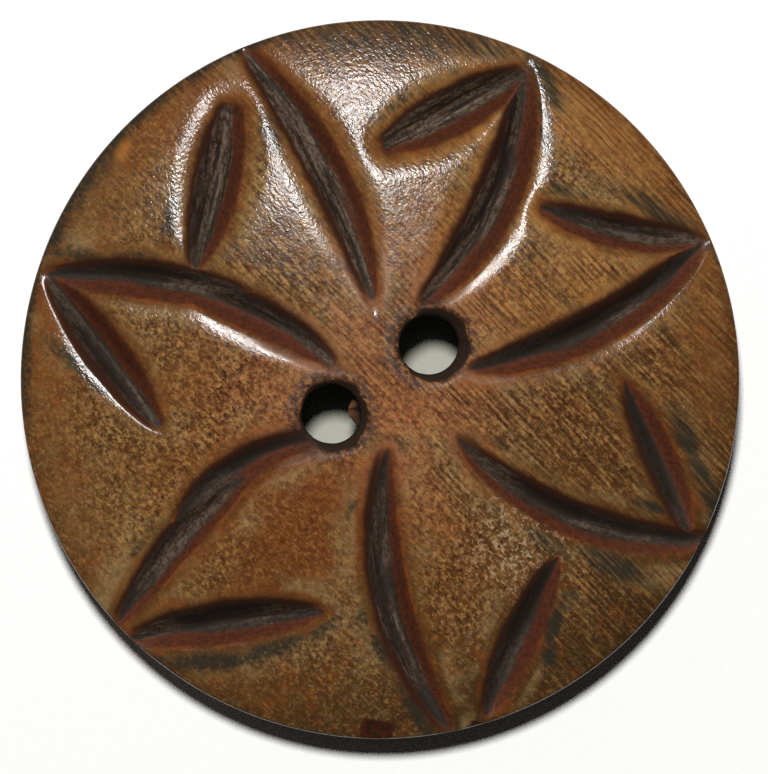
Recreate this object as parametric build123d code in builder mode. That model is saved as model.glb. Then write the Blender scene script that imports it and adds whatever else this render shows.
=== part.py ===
"""Carved two-hole button, in millimetres.

The button is one piece of a dense natural material: a low dome, turned flat on the back, with two sewing
holes and a pinwheel of seven pairs of gouge cuts. Each pair is a long bowed cut and a short straighter one
that meet near the rim. The origin is the middle of the flat back, +Z points out of the carved face and X
runs through both sewing holes.
"""

import os
from math import radians, sqrt, tan
from typing import NamedTuple

from build123d import *

# Blank
button_diameter = 30.0
crown_height = 4.2
rim_height = 2.7
rim_easing = 0.35
rim_facet_share = 0.3
back_bevel_width = 1.3
back_bevel_height = 0.9

# Sewing holes
hole_diameter = 2.5
hole_spacing = 5.0
hole_mouth_diameter = 3.0
hole_mouth_angle = 90.0
hole_back_chamfer = 0.15

# Carving: a V-gouge makes each cut, and a wider, flatter pass eases its shoulders
gouge_angle = 86.0
gouge_keel_width = 0.24
easing_angle = 136.0
easing_keel_width = 0.1
easing_reach = 0.24
easing_lift = 0.045
cut_overrun = 0.8

# Chip out of the rim
chip_radius = 2.4
chip_depth = 0.16
chip_share = 0.99
chip_bearing = 234.0

button_radius = button_diameter / 2
hole_offset = hole_spacing / 2
dome_rise = crown_height - rim_height
dome_radius = (button_radius**2 + dome_rise**2) / (2 * dome_rise)


class Tool(NamedTuple):
    """A V-shaped cutter with a narrow flat keel.

    It reaches past the gouge cut's own edge on each side, and enters a pointed end at a lift above the face.
    """

    angle: float
    keel_width: float
    reach: float = 0
    lift: float = 0

    @property
    def slope(self):
        """How far each side of the V leans out for each unit of its height."""
        return tan(radians(self.angle / 2))

    def depth(self, cut_width):
        """How deep the keel runs where the gouge's cut has a width; a pointed end has none."""
        if not cut_width:
            return -self.lift
        return (max(cut_width - self.keel_width, 0) / 2 + self.reach) / self.slope


class Stroke(NamedTuple):
    """One pass of the gouge, from its tip near the rim to its heel near the middle.

    Places, bow and width are shares of the button's radius, bearings are degrees from X, and the tip and heel
    widths, of a cut that starts or ends blunt, are shares of its full width.
    """

    tip_share: float
    tip_bearing: float
    heel_share: float
    heel_bearing: float
    bow_share: float
    width_share: float
    tip_width_share: float = 0
    heel_width_share: float = 0


# Long bowed cuts, two of which were made in two strokes each
long_stroke_shares = [
    Stroke(0.996, 77.1, 0.216, 59.0, 0.053, 0.110),
    Stroke(0.954, 29.6, 0.232, 26.0, 0.075, 0.130),
    Stroke(0.985, 347.8, 0.246, 330.8, 0.067, 0.113),
    Stroke(1.034, 299.1, 0.265, 287.5, 0.092, 0.100, tip_width_share=0.25),
    Stroke(0.999, 246.1, 0.192, 241.3, 0.083, 0.107),
    Stroke(1.001, 187.7, 0.430, 179.0, 0.019, 0.095, heel_width_share=0.5),
    Stroke(0.700, 180.0, 0.229, 189.8, 0.047, 0.085, heel_width_share=0.3),
    Stroke(0.972, 127.2, 0.411, 112.1, 0.017, 0.108),
    Stroke(0.674, 120.9, 0.128, 127.5, 0.033, 0.100),
]
# Short cuts that meet the long ones near the rim
short_stroke_shares = [
    Stroke(0.839, 84.6, 0.595, 113.8, 0.006, 0.130, tip_width_share=0.55),
    Stroke(0.951, 29.3, 0.658, 51.7, 0.006, 0.135, heel_width_share=0.5),
    Stroke(0.984, 347.6, 0.657, 10.4, 0.022, 0.095, heel_width_share=0.4),
    Stroke(0.963, 298.0, 0.678, 324.2, -0.008, 0.090),
    Stroke(0.983, 252.0, 0.698, 279.7, 0.003, 0.107),
    Stroke(1.005, 190.4, 0.664, 221.1, 0.006, 0.118),
    Stroke(0.968, 127.0, 0.622, 156.8, 0.003, 0.120),
]
stroke_shares = long_stroke_shares + short_stroke_shares


def face_height(radius):
    """Height of the uncut dome at a distance from the middle."""
    return crown_height - dome_radius + sqrt(dome_radius**2 - radius**2)


def below_face(place, depth):
    """The point at a depth straight under the dome, at a place in plan."""
    return Vector(place.X, place.Y, face_height(place.length) - depth)


def place_at(share, bearing):
    """A place in plan from its share of the radius and its bearing in degrees."""
    return Vector(button_radius * share, 0).rotate(Axis.Z, bearing)


def keel_points(stroke, tool):
    """The tip, the deepest point and the heel of the line that the tool's keel follows."""
    tip = place_at(stroke.tip_share, stroke.tip_bearing)
    heel = place_at(stroke.heel_share, stroke.heel_bearing)
    sideways = (heel - tip).normalized().rotate(Axis.Z, 90)
    belly = (tip + heel) / 2 + sideways * stroke.bow_share * button_radius
    width = stroke.width_share * button_radius
    return (
        below_face(tip, tool.depth(width * stroke.tip_width_share)),
        below_face(belly, tool.depth(width)),
        below_face(heel, tool.depth(width * stroke.heel_width_share)),
    )


def tool_section(tool):
    """The tool's V, tall enough for the widest cut, with its keel centred on the origin."""
    widest_cut = max(stroke.width_share for stroke in stroke_shares) * button_radius
    height = tool.depth(widest_cut) + cut_overrun
    half_keel = tool.keel_width / 2
    half_top = half_keel + height * tool.slope
    with BuildSketch() as section:
        with BuildLine():
            Polyline((half_top, height), (half_keel, 0), (-half_keel, 0), (-half_top, height), close=True)
        make_face()
    return section.sketch


def end_plane(point, inward):
    """The plane across the end of a keel line, with Z into the stroke and Y as upright as that allows."""
    return Plane(point, x_dir=Vector(0, 0, 1).cross(inward), z_dir=inward)


gouge = Tool(gouge_angle, gouge_keel_width)
easing = Tool(easing_angle, easing_keel_width, easing_reach, easing_lift)

with BuildPart() as button:
    with BuildSketch(Plane.XZ):
        with BuildLine():
            back = Line((0, 0), (button_radius - back_bevel_width, 0))
            bevel = Line(back @ 1, (button_radius, back_bevel_height))
            wall = Line(bevel @ 1, (button_radius, rim_height - rim_easing))
            facet_drop = rim_easing * rim_facet_share
            lower_facet = Line(wall @ 1, (button_radius - facet_drop, rim_height - facet_drop))
            # The upper facet runs on through the dome, which the sphere below cuts to shape
            dome_edge = Vector(button_radius - rim_easing, face_height(button_radius - rim_easing))
            upper_facet = Line(lower_facet @ 1, dome_edge * 2 - lower_facet @ 1)
            top_height = crown_height + cut_overrun
            Polyline(upper_facet @ 1, ((upper_facet @ 1).X, top_height), (0, top_height), (0, 0))
        make_face()
    revolve(axis=Axis.Z)
    # The large sphere of the dome lies on its side, so that its poles stay clear of the face
    with Locations(Location((0, 0, crown_height - dome_radius), (90, 0, 0))):
        Sphere(dome_radius, mode=Mode.INTERSECT)

    for tool in (easing, gouge):
        section = tool_section(tool)
        for stroke in stroke_shares:
            with BuildLine() as keel:
                ThreePointArc(*keel_points(stroke, tool))
            tip_plane = end_plane(keel.line @ 0, keel.line % 0)
            heel_plane = end_plane(keel.line @ 1, (keel.line % 1) * -1)
            with BuildSketch(tip_plane):
                add(section)
            sweep(mode=Mode.SUBTRACT)
            # A blunt end is rounded by half a turn of the tool
            for plane, width_share in (
                (tip_plane, stroke.tip_width_share),
                (heel_plane, stroke.heel_width_share),
            ):
                if width_share:
                    with BuildSketch(plane):
                        add(section)
                        split(bisect_by=Plane.YZ)
                    revolve(axis=Axis(plane.origin, plane.y_dir), revolution_arc=180, mode=Mode.SUBTRACT)

    with Locations((hole_offset, 0, face_height(hole_offset)), (-hole_offset, 0, face_height(hole_offset))):
        CounterSinkHole(
            radius=hole_diameter / 2,
            counter_sink_radius=hole_mouth_diameter / 2,
            counter_sink_angle=hole_mouth_angle,
        )
    back_face = button.faces().sort_by(Axis.Z)[0]
    chamfer([wire.edges() for wire in back_face.inner_wires()], hole_back_chamfer)

    with Locations(below_face(place_at(chip_share, chip_bearing), chip_depth - chip_radius)):
        Sphere(chip_radius, mode=Mode.SUBTRACT)

button.part.label = "button"
os.makedirs("parts", exist_ok=True)
export_step(button.part, "parts/button.step")
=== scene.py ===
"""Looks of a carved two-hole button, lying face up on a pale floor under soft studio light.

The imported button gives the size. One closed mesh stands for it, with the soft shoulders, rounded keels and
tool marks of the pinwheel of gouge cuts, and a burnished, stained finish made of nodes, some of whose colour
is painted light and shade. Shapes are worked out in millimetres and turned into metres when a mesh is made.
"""

import logging
import math
from dataclasses import dataclass, field, replace
from enum import Enum
from functools import partial, reduce
from typing import NamedTuple, Sequence, Union

import bpy
import numpy as np
from mathutils import Matrix, Vector
from mathutils.geometry import delaunay_2d_cdt


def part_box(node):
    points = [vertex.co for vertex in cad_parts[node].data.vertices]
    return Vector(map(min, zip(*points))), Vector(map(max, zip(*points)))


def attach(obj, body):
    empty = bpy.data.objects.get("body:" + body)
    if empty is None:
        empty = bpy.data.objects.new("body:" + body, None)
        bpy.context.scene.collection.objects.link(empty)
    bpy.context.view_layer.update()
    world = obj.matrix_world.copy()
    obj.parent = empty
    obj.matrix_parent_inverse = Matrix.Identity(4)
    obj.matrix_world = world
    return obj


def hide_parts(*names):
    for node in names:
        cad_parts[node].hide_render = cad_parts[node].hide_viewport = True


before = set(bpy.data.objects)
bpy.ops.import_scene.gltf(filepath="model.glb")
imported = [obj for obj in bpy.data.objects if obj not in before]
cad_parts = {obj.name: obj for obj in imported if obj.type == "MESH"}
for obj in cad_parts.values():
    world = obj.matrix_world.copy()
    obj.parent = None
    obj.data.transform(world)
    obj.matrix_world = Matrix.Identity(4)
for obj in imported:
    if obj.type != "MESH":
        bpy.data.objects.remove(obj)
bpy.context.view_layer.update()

log = logging.getLogger("button")

MM = 0.001
FRAME_PIXELS = (768, 774)
BAKE_MAP = "OFBake"
RING_SLACK = 1e-6
JOIN_SLACK = 1e-7
# A height or a gap that is clear of every cut
FAR = 9.0

Array = np.ndarray
Measure = Union[Array, float]
Colour = tuple[float, float, float]
Socket = bpy.types.NodeSocket
Feed = Union[Socket, float, Sequence[float]]


class Trait(Enum):
    """What each point of the button's mesh tells its finish."""

    CUT_GAP = "cut_gap"
    CUT_FLOOR = "cut_floor"
    CUT_PLACE = "cut_place"
    DYE = "dye"
    CHIP = "chip"
    SCUFF = "scuff"
    BORE = "bore"
    CRUMB = "crumb"
    BACK = "back"

    @property
    def is_place(self) -> bool:
        """True if the trait is a place, False if it is a number."""
        return self is Trait.CUT_PLACE


class Lamp(Enum):
    """The studio's lights."""

    KEY = "key_light"
    FILL = "fill_light"


def srgb(red: int, green: int, blue: int) -> Colour:
    """Turns a display colour, from 0 to 255, into the linear one that a shader takes."""
    shares = [part / 255 for part in (red, green, blue)]
    return tuple(s / 12.92 if s <= 0.04045 else ((s + 0.055) / 1.055) ** 2.4 for s in shares)


def soft_least(first: Array, second: Array, reach: float) -> Array:
    """The lesser of two heights, blended where they are closer than the reach."""
    share = np.clip(0.5 + 0.5 * (second - first) / reach, 0, 1)
    return second + (first - second) * share - reach * share * (1 - share)


def eased(value: Measure, low: float, high: float) -> Measure:
    """A smooth step from 0 at low to 1 at high, which may be under low."""
    share = np.clip((value - low) / (high - low), 0, 1)
    return share * share * (3 - 2 * share)


def spot(share: float, bearing: float, radius: float) -> Array:
    """The X and Y of a place at a share of the button's radius and a bearing in degrees from X."""
    turn = math.radians(bearing)
    return radius * share * np.array([math.cos(turn), math.sin(turn)])


def lengths(offsets: Array) -> Array:
    """The length of each row of offsets."""
    return np.linalg.norm(offsets, axis=1)


def ring_ways(count: int) -> Array:
    """Evenly turned directions round a ring, one X and Y to a row."""
    turns = np.arange(count) * (2 * math.pi / count)
    return np.stack([np.cos(turns), np.sin(turns)], 1)


def put_in_scene(name: str, data: bpy.types.ID) -> bpy.types.Object:
    """Makes an object and adds it to the scene.

    Args:
        name: The object's name.
        data: Its mesh, camera or light.

    Returns:
        The object.
    """
    made = bpy.data.objects.new(name, data)
    bpy.context.scene.collection.objects.link(made)
    return made


@dataclass(frozen=True)
class Ripple:
    """Smooth seeded unevenness over a plane, with its depth, its waves in each unit and its start."""

    COLUMN_STRIDE = 127.1
    ROW_STRIDE = 311.7
    SEED_STRIDE = 74.7
    SCATTER = 43758.5453

    seed: float
    depth: float
    pitch: tuple[float, float]
    start: tuple[float, float] = (0.0, 0.0)

    def numbered(self, number: int) -> "Ripple":
        """The same unevenness with a draw of its own."""
        return replace(self, seed=number + self.seed)

    def corner(self, column: Array, row: Array) -> Array:
        """The value from -1 to 1 at a whole-numbered corner of the plane's squares."""
        turn = column * self.COLUMN_STRIDE + row * self.ROW_STRIDE + self.seed * self.SEED_STRIDE
        return 2 * (np.sin(turn) * self.SCATTER % 1) - 1

    def at(self, x: Array, y: Array) -> Array:
        """Reads the unevenness.

        Args:
            x: First coordinates.
            y: Second coordinates.

        Returns:
            The value at each place.
        """
        x = x * self.pitch[0] + self.start[0]
        y = y * self.pitch[1] + self.start[1]
        column = np.floor(x)
        row = np.floor(y)
        u = eased(x - column, 0, 1)
        v = eased(y - row, 0, 1)
        near = self.corner(column, row) * (1 - u) + self.corner(column + 1, row) * u
        far = self.corner(column, row + 1) * (1 - u) + self.corner(column + 1, row + 1) * u
        return self.depth * (near * (1 - v) + far * v)


@dataclass(frozen=True)
class GougeProfile:
    """A V with a rounded keel.

    It may reach past the cut's own edge on each side, and enter a pointed end at a lift above the face.
    """

    angle: float
    keel_round: float
    reach: float = 0.0
    lift: float = 0.0

    @property
    def slope(self) -> float:
        """How far each side leans out for each unit of its height."""
        return math.tan(math.radians(self.angle / 2))

    def rise(self, aside: Measure) -> Measure:
        """Height over the keel at distances to its side."""
        return (np.hypot(aside, self.keel_round) - self.keel_round) / self.slope

    def depth(self, width: float) -> float:
        """How deep the keel runs where the cut has a width; a pointed end has none."""
        return self.rise(width / 2 + self.reach) if width else -self.lift

    def half_width(self, depth: Array) -> Array:
        """Half the cut's width where the keel runs at a depth."""
        return np.sqrt(np.clip((self.slope * depth + self.keel_round) ** 2 - self.keel_round**2, 0, None))


@dataclass(frozen=True)
class GougeCut:
    """One stroke of the gouge, from its tip near the rim to its heel near the middle.

    Places, bow and width are shares of the button's radius, bearings are degrees from X, and the widths of a
    blunt tip or heel are shares of the full width.
    """

    tip_share: float
    tip_bearing: float
    heel_share: float
    heel_bearing: float
    bow_share: float
    width_share: float
    tip_width_share: float = 0.0
    heel_width_share: float = 0.0

    def ends(self, radius: float) -> tuple[Array, Array]:
        """The places of the tip and the heel."""
        tip = spot(self.tip_share, self.tip_bearing, radius)
        return tip, spot(self.heel_share, self.heel_bearing, radius)

    def follow(self, plan: Array, radius: float) -> tuple[Array, Array, float]:
        """Measures places along and across the stroke's bowed line.

        Args:
            plan: Places, one X and Y to a row.
            radius: The button's radius.

        Returns:
            Distance along from the middle of the stroke, distance across, and half the stroke's length.
        """
        tip, heel = self.ends(radius)
        half_chord = np.linalg.norm(heel - tip) / 2
        ahead = (heel - tip) / (2 * half_chord)
        aside = np.array([-ahead[1], ahead[0]])
        bow = self.bow_share * radius
        bend = (half_chord**2 + bow**2) / (2 * bow)
        side = math.copysign(1.0, bow)
        offset = plan - ((tip + heel) / 2 + aside * (bow - bend))
        turn = np.arctan2(offset @ ahead, side * (offset @ aside))
        across = side * (lengths(offset) - abs(bend))
        half_length = abs(bend) * math.asin(min(1.0, half_chord / abs(bend)))
        return abs(bend) * turn, across, half_length

    def sense(self, bearing: float, radius: float) -> float:
        """Which side of the stroke lies towards a bearing.

        Args:
            bearing: Degrees from X.
            radius: The button's radius.

        Returns:
            1 if distances across the stroke grow towards the bearing, -1 if they shrink.
        """
        tip, heel = self.ends(radius)
        ahead = heel - tip
        return math.copysign(1.0, np.array([-ahead[1], ahead[0]]) @ spot(1.0, bearing, 1.0))

    def past_blunt(self, along: Array, half: float) -> Array:
        """How far places lie past a blunt end.

        Args:
            along: Distance along from the middle of the stroke.
            half: Half the stroke's length.

        Returns:
            The distance past the end, which is 0 before it and at a pointed end.
        """
        past = np.zeros(len(along))
        for end, width_share in ((-1, self.tip_width_share), (1, self.heel_width_share)):
            if width_share:
                past = np.maximum(past, end * along - half)
        return past

    def keel(self, share: Array, profile: GougeProfile, radius: float) -> Array:
        """Depth of a keel along the stroke, through its tip, belly and heel.

        Args:
            share: Places along the stroke, from -1 at its tip to 1 at its heel.
            profile: The profile that follows the stroke.
            radius: The button's radius.

        Returns:
            The depth under the uncut face.
        """
        full = self.width_share * radius
        width_shares = (self.tip_width_share, 1.0, self.heel_width_share)
        tip, belly, heel = (profile.depth(full * width_share) for width_share in width_shares)
        return tip * share * (share - 1) / 2 + belly * (1 - share**2) + heel * share * (share + 1) / 2


@dataclass(frozen=True)
class Chip:
    """A shallow flake out of the rim, with its place as a share of the radius and a bearing."""

    share: float
    bearing: float
    reach: float
    depth: float

    def offsets(self, plan: Array, radius: float) -> Array:
        """Places in plan, from the middle of the chip."""
        return plan - spot(self.share, self.bearing, radius)


@dataclass(frozen=True)
class Crumb:
    """A crumb of dirt stuck to the wall of a sewing hole, in millimetres and degrees."""

    hole: int = 1
    bearing: float = -28.0
    spread: float = 30.0
    height: float = 2.7
    tall: float = 0.85
    depth: float = 0.5
    outer: float = 1.0
    inner: float = 0.35
    edge: tuple[float, float] = (0.12, 0.4)
    uneven: Ripple = Ripple(61.1, 0.3, (4.0, 3.0), (20.0, 0.0))

    def lump(self, hole: int, turns: Array, heights: Array) -> Array:
        """How far the crumb stands out of the wall.

        Args:
            hole: Which hole the places are in.
            turns: Turns round the hole, in radians.
            heights: Heights of the places.

        Returns:
            The crumb's share of its depth at each place.
        """
        if hole != self.hole:
            return np.zeros(len(turns))
        aside = (np.degrees(turns) - self.bearing + 180) % 360 - 180
        away = np.hypot(aside / self.spread, (heights - self.height) / self.tall)
        return eased(away + self.uneven.at(turns, heights), self.outer, self.inner)


@dataclass(frozen=True)
class Stain:
    """A smudge on the face: its place, its length and width in millimetres and its lie in degrees from X."""

    FALL_POWER = 1.4
    FALL_WIDTH = 2.6

    share: float
    bearing: float
    length: float
    width: float
    lie: float
    strength: float = 1.0

    def cover(self, plan: Array, radius: float) -> Array:
        """How strongly the smudge covers places in plan.

        Args:
            plan: Places, one X and Y to a row.
            radius: The button's radius.

        Returns:
            The cover at each place, from 0 to the smudge's strength.
        """
        turn = math.radians(self.lie)
        offset = plan - spot(self.share, self.bearing, radius)
        along = offset @ np.array([math.cos(turn), math.sin(turn)]) / (self.length / 2)
        across = offset @ np.array([-math.sin(turn), math.cos(turn)]) / (self.width / 2)
        return self.strength * np.exp(-((along**2 + across**2) ** self.FALL_POWER) / self.FALL_WIDTH)


LONG_CUTS = [
    GougeCut(0.996, 77.1, 0.216, 59.0, 0.053, 0.110),
    GougeCut(0.954, 29.6, 0.232, 26.0, 0.075, 0.130),
    GougeCut(0.985, 347.8, 0.246, 330.8, 0.067, 0.113),
    GougeCut(1.034, 299.1, 0.265, 287.5, 0.092, 0.100, tip_width_share=0.25),
    GougeCut(0.999, 246.1, 0.192, 241.3, 0.083, 0.107),
    GougeCut(1.001, 187.7, 0.430, 179.0, 0.019, 0.095, heel_width_share=0.5),
    GougeCut(0.700, 180.0, 0.229, 189.8, 0.047, 0.085, heel_width_share=0.3),
    GougeCut(0.972, 127.2, 0.411, 112.1, 0.017, 0.108),
    GougeCut(0.674, 120.9, 0.128, 127.5, 0.033, 0.100),
]
SHORT_CUTS = [
    GougeCut(0.839, 84.6, 0.595, 113.8, 0.006, 0.130, tip_width_share=0.65),
    GougeCut(0.951, 29.3, 0.658, 51.7, 0.006, 0.135, heel_width_share=0.5),
    GougeCut(0.984, 347.6, 0.657, 10.4, 0.022, 0.095, heel_width_share=0.4),
    GougeCut(0.963, 298.0, 0.678, 324.2, -0.008, 0.090),
    GougeCut(0.983, 252.0, 0.698, 279.7, 0.003, 0.107),
    GougeCut(1.005, 190.4, 0.664, 221.1, 0.006, 0.118),
    GougeCut(0.968, 127.0, 0.622, 156.8, 0.003, 0.120),
]
CHIPS = [Chip(0.99, 234.0, 0.85, 0.16), Chip(1.0, 249.8, 0.28, 0.12)]
SCUFFS = [Stain(0.955, 102.8, 0.8, 0.36, 25.0, 0.5)]
DYE_STAINS = [
    Stain(0.946, 26.2, 2.1, 0.65, -90.0, 1.0),
    Stain(0.840, 21.5, 2.4, 0.5, -115.0, 0.8),
    Stain(0.903, 355.8, 3.2, 0.65, -65.0, 0.85),
    Stain(0.961, 348.2, 0.9, 0.55, -55.0, 0.9),
    Stain(0.968, 38.3, 2.2, 0.7, -55.0, 0.75),
    Stain(0.945, 52.9, 7.0, 1.5, -35.0, 0.65),
    Stain(0.865, 313.8, 1.8, 0.6, -95.0, 0.9),
    Stain(0.928, 308.5, 1.7, 0.6, -100.0, 0.75),
    Stain(0.997, 304.0, 2.0, 0.8, -103.0, 0.8),
    Stain(0.828, 299.5, 1.3, 0.4, -55.0, 0.85),
    Stain(0.821, 286.0, 2.3, 0.8, -60.0, 0.85),
    Stain(0.643, 280.4, 1.5, 0.6, -65.0, 0.6),
    Stain(0.836, 269.9, 1.4, 0.5, 35.0, 0.95),
    Stain(0.902, 266.2, 1.0, 0.5, 40.0, 0.85),
    Stain(0.803, 274.6, 0.8, 0.5, 35.0, 0.6),
    Stain(0.911, 203.8, 3.4, 0.6, -31.0, 0.95),
    Stain(0.811, 212.5, 2.8, 0.5, -17.0, 0.9),
    Stain(0.751, 234.8, 1.3, 0.5, -95.0, 0.85),
    Stain(0.920, 240.7, 2.0, 0.6, -95.0, 0.85),
    Stain(0.913, 122.3, 2.2, 0.6, -43.0, 0.65),
    Stain(0.762, 117.8, 1.6, 0.5, -39.0, 0.5),
    Stain(0.828, 142.4, 2.9, 0.6, -76.0, 0.8),
    Stain(0.737, 106.6, 1.6, 0.5, 45.0, 0.75),
    Stain(0.754, 78.3, 1.4, 0.5, -100.0, 0.95),
    Stain(0.992, 94.1, 3.0, 0.6, 5.0, 0.6),
    Stain(0.977, 106.0, 3.4, 0.8, 18.0, 0.5),
    Stain(0.971, 116.3, 3.2, 0.7, 27.0, 0.4),
    Stain(0.973, 126.0, 2.4, 0.6, 36.0, 0.35),
]


class Patch(NamedTuple):
    """A soft round patch of a finish: its middle, where it starts and where it is whole, and its strength."""

    x: float
    y: float
    outer: float
    inner: float
    strength: float = 1.0


class Tint(NamedTuple):
    """A tone laid where a value passes from low to high: its strength there, and further shares of it."""

    tone: Feed
    value: Feed
    low: float
    high: float
    strength: float = 1.0
    shares: tuple[Feed, ...] = ()


class NodeBench:
    """Adds and joins the nodes of one material."""

    def __init__(self, name: str) -> None:
        """Starts a material with only its output and its main shader.

        Args:
            name: The material's name.
        """
        self.material = bpy.data.materials.new(name)
        self.material.use_nodes = True
        self.tree = self.material.node_tree
        self.tree.nodes.clear()
        output = self.tree.nodes.new("ShaderNodeOutputMaterial")
        self.shader = self.tree.nodes.new("ShaderNodeBsdfPrincipled")
        self.tree.links.new(self.shader.outputs["BSDF"], output.inputs["Surface"])

    def feed(self, socket: Socket, value: Feed) -> None:
        """Links a socket, or sets it where the value is a plain number or colour.

        Args:
            socket: The socket to feed.
            value: Another node's output, a number, or a colour or vector.
        """
        if isinstance(value, Socket):
            self.tree.links.new(value, socket)
        elif isinstance(value, (int, float)):
            socket.default_value = value
        else:
            socket.default_value = (*value, 1.0) if len(socket.default_value) == 4 else value

    def dress(self, feeds: dict[str, Feed]) -> None:
        """Feeds the main shader, each socket by its name."""
        for name, value in feeds.items():
            self.feed(self.shader.inputs[name], value)

    def add(self, kind: str, feeds: dict[Union[int, str], Feed], **settings: str) -> bpy.types.Node:
        """Adds a node.

        Args:
            kind: The node's type.
            feeds: What goes into its inputs, by name or place.
            settings: The node's own properties.

        Returns:
            The node.
        """
        node = self.tree.nodes.new(kind)
        for name, value in settings.items():
            setattr(node, name, value)
        for key, value in feeds.items():
            self.feed(node.inputs[key], value)
        return node

    def math(self, operation: str, first: Feed, second: Feed) -> Socket:
        """One step of arithmetic, by the name of the Math node's operation."""
        return self.add("ShaderNodeMath", {0: first, 1: second}, operation=operation).outputs[0]

    def times(self, *values: Feed) -> Socket:
        """The product of values."""
        return reduce(partial(self.math, "MULTIPLY"), values)

    def plus(self, *values: Feed) -> Socket:
        """The sum of values."""
        return reduce(partial(self.math, "ADD"), values)

    def most(self, *values: Feed) -> Socket:
        """The greatest of values."""
        return reduce(partial(self.math, "MAXIMUM"), values)

    def less(self, whole: Feed, part: Feed) -> Socket:
        """What is left of a whole without a part."""
        return self.math("SUBTRACT", whole, part)

    def step(self, value: Feed, low: float, high: float, start: float = 0.0, end: float = 1.0) -> Socket:
        """A smooth step of a value, from start at low to end at high, which may be under low."""
        feeds = {"Value": value, "From Min": low, "From Max": high, "To Min": start, "To Max": end}
        return self.add("ShaderNodeMapRange", feeds, interpolation_type="SMOOTHSTEP").outputs["Result"]

    def band(self, value: Feed, marks: tuple[float, float, float, float]) -> Socket:
        """A smooth rise to 1 and fall back to 0, by the marks where each starts and ends."""
        rise_start, rise_end, fall_start, fall_end = marks
        return self.times(self.step(value, rise_start, rise_end), self.step(value, fall_end, fall_start))

    def blend(self, share: Feed, first: Feed, second: Feed) -> Socket:
        """Mixes two colours, by how much of the second shows."""
        return self.add("ShaderNodeMix", {0: share, 6: first, 7: second}, data_type="RGBA").outputs[2]

    def mix(self, share: Feed, first: Feed, second: Feed) -> Socket:
        """Mixes two numbers, by how much of the second shows."""
        return self.add("ShaderNodeMix", {0: share, 2: first, 3: second}, data_type="FLOAT").outputs[0]

    def tinted(self, colour: Feed, *tints: Tint) -> Socket:
        """Lays tints over a colour, one after another.

        Args:
            colour: The colour so far.
            tints: The tints in order.

        Returns:
            The tinted colour.
        """
        for tint in tints:
            share = self.step(tint.value, tint.low, tint.high, 0.0, tint.strength)
            colour = self.blend(self.times(share, *tint.shares), colour, tint.tone)
        return colour

    def scaled(self, place: Feed, factors: Sequence[float]) -> Socket:
        """A place with each coordinate multiplied."""
        return self.add("ShaderNodeVectorMath", {0: place, 1: factors}, operation="MULTIPLY").outputs[0]

    def turned(self, place: Feed, turn: float) -> Socket:
        """A place turned about Z, by degrees that go clockwise from above."""
        feeds = {"Vector": place, "Angle": -math.radians(turn)}
        return self.add("ShaderNodeVectorRotate", feeds, rotation_type="Z_AXIS").outputs["Vector"]

    def mottle(self, place: Feed, scale: float, detail: float = 2.0, rough: float = 0.5) -> Socket:
        """Noise around one half, by its waves in each unit, its finer layers and the share of each."""
        feeds = {"Vector": place, "Scale": scale, "Detail": detail, "Roughness": rough}
        return self.add("ShaderNodeTexNoise", feeds).outputs["Fac"]

    def near(self, place: Feed, patch: Patch) -> Socket:
        """A soft round patch.

        Args:
            place: The place to read.
            patch: The patch.

        Returns:
            Its strength at the place.
        """
        feeds = {0: place, 1: (patch.x, patch.y, 0.0)}
        away = self.add("ShaderNodeVectorMath", feeds, operation="DISTANCE").outputs["Value"]
        return self.step(away, patch.outer, patch.inner, 0.0, patch.strength)

    def trait(self, trait: Trait) -> Socket:
        """A trait of the mesh's points."""
        node = self.add("ShaderNodeAttribute", {}, attribute_type="GEOMETRY", attribute_name=trait.value)
        return node.outputs["Vector" if trait.is_place else "Fac"]

    def find_place(self) -> Socket:
        """The place on the object, in millimetres."""
        found = self.add("ShaderNodeTexCoord", {}).outputs["Object"]
        return self.scaled(found, (1 / MM, 1 / MM, 1 / MM))


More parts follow.
